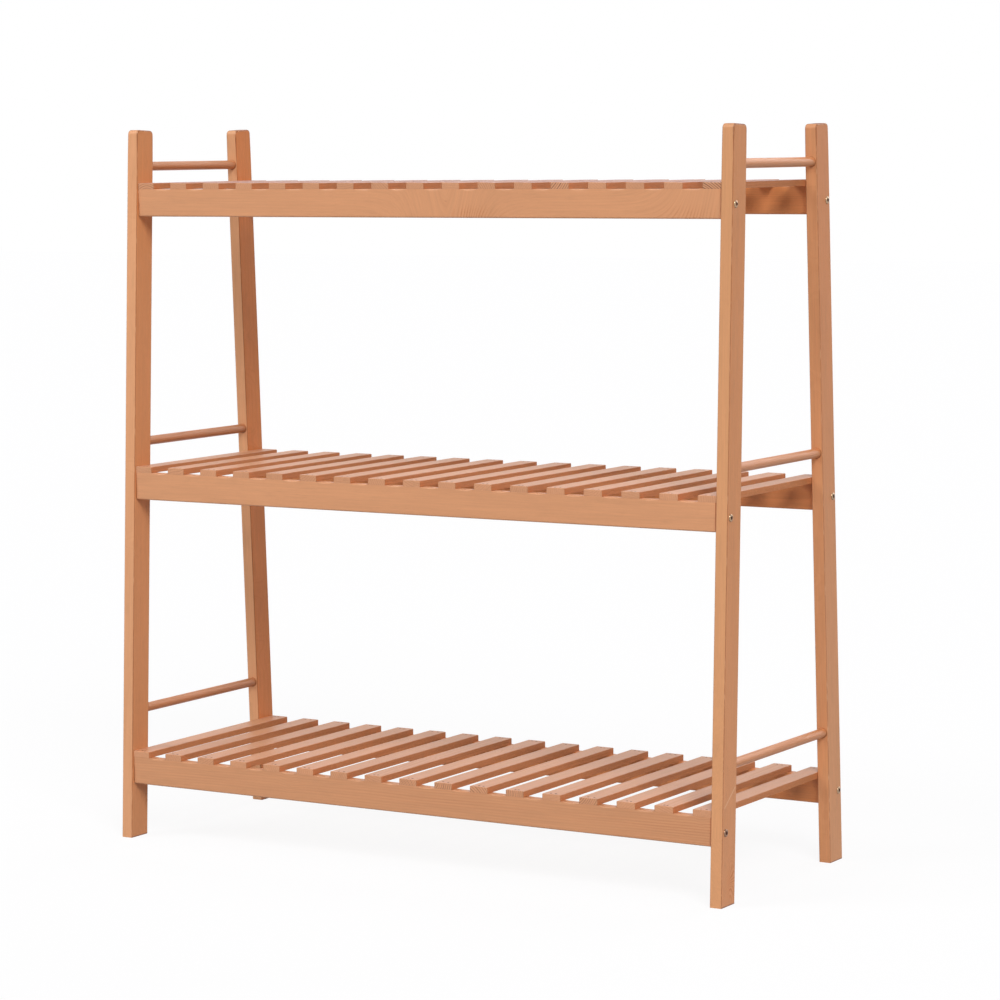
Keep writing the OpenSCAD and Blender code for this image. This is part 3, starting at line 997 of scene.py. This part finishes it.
# the inserts and nails keep their own shapes and get a finish
plainFinishes = {
    "bolt_inserts": "brass", "top_slat_nails": "steel", "middle_slat_nails": "steel",
    "bottom_slat_nails": "steel",
}
for node, metal in plainFinishes.items():
    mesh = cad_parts[node].data
    mesh.materials.clear()
    mesh.materials.append(metals[metal])
print("inserts and nails finished")


# studio: a pale floor, faint light all round, and four large soft lights
studio = {
    "floorSize": 40.0, "floorColour": (0.48, 0.48, 0.48, 1), "seenColour": (0.97, 0.96, 1.0, 1),
    "floorLift": 0.9, "floorRoughness": 0.9,
    "around": 0.02, "aroundColour": (1.0, 1.0, 1.0, 1),
    # where each light comes from, its strength and its width in degrees
    "lights": {
        "rightLight": ((0.55, -0.58, 0.6), 2.33, 30.0),
        "leftLight": ((-0.55, -0.58, 0.6), 1.2, 30.0),
        "overheadLight": ((0.0, 0.0, 1.0), 0.6, 60.0),
        "backLight": ((0.15, 0.9, 0.35), 0.85, 40.0),
    },
}


def seenRays(sheet):
    # 1 for rays from the camera and those mirrored or passed on by metal and glass, else 0
    kinds = [sheet.node("ShaderNodeLightPath", output=kind)
             for kind in ("Is Camera Ray", "Is Glossy Ray", "Is Transmission Ray")]
    total = kinds[0] + kinds[1] + kinds[2]
    return total.math("MINIMUM", total, 1.0)


def makeFloor(settings):
    # a square whose colour is brighter for seen rays, and which glows for them by the lift
    mesh = bpy.data.meshes.new("floor")
    far = settings["floorSize"] / 2
    corners = [(-far, -far, 0), (far, -far, 0), (far, far, 0), (-far, far, 0)]
    mesh.from_pydata(corners, [], [(0, 1, 2, 3)])
    floor = addObject("floor", mesh)
    sheet = Sheet(bpy.data.materials.new("paleFloor"))
    seen = seenRays(sheet)
    colour = sheet.blend(seen, settings["floorColour"], settings["seenColour"])
    mesh.materials.append(sheet.finish(Base_Color=colour, Roughness=settings["floorRoughness"],
                                       Specular_IOR_Level=0.0))
    lit = Wire(sheet, sheet.tree.nodes["Principled BSDF"].outputs[0])
    white = sheet.node("ShaderNodeEmission", None, {"Color": (1, 1, 1, 1), "Strength": 1.0})
    inputs = {0: seen * settings["floorLift"], 1: lit, 2: white}
    mixed = sheet.node("ShaderNodeMixShader", None, inputs)
    sheet.feed(sheet.tree.nodes["Material Output"].inputs["Surface"], mixed)


def makeWorld(settings):
    # faint light all round, and white for seen rays
    sky = Sheet(bpy.data.worlds.new("studio"))
    bpy.context.scene.world = sky.owner
    plain = sky.node("ShaderNodeBackground", None,
                     {"Color": settings["aroundColour"], "Strength": settings["around"]})
    bright = sky.node("ShaderNodeBackground", None, {"Color": (1, 1, 1, 1), "Strength": 1.0})
    both = sky.node("ShaderNodeMixShader", None, {0: seenRays(sky), 1: plain, 2: bright})
    sky.feed(sky.tree.nodes["World Output"].inputs["Surface"], both)


def makeStudio(settings):
    # each light is a far, wide disc whose beams come from its direction
    bpy.context.scene.view_settings.view_transform = "Standard"
    makeFloor(settings)
    makeWorld(settings)
    for name, (towards, strength, width) in settings["lights"].items():
        data = bpy.data.lights.new(name, "SUN")
        data.energy = strength
        data.angle = width * degree
        lamp = addObject(name, data)
        lamp.rotation_euler = Vector(towards).to_track_quat("Z", "Y").to_euler()


makeStudio(studio)
print("studio made")
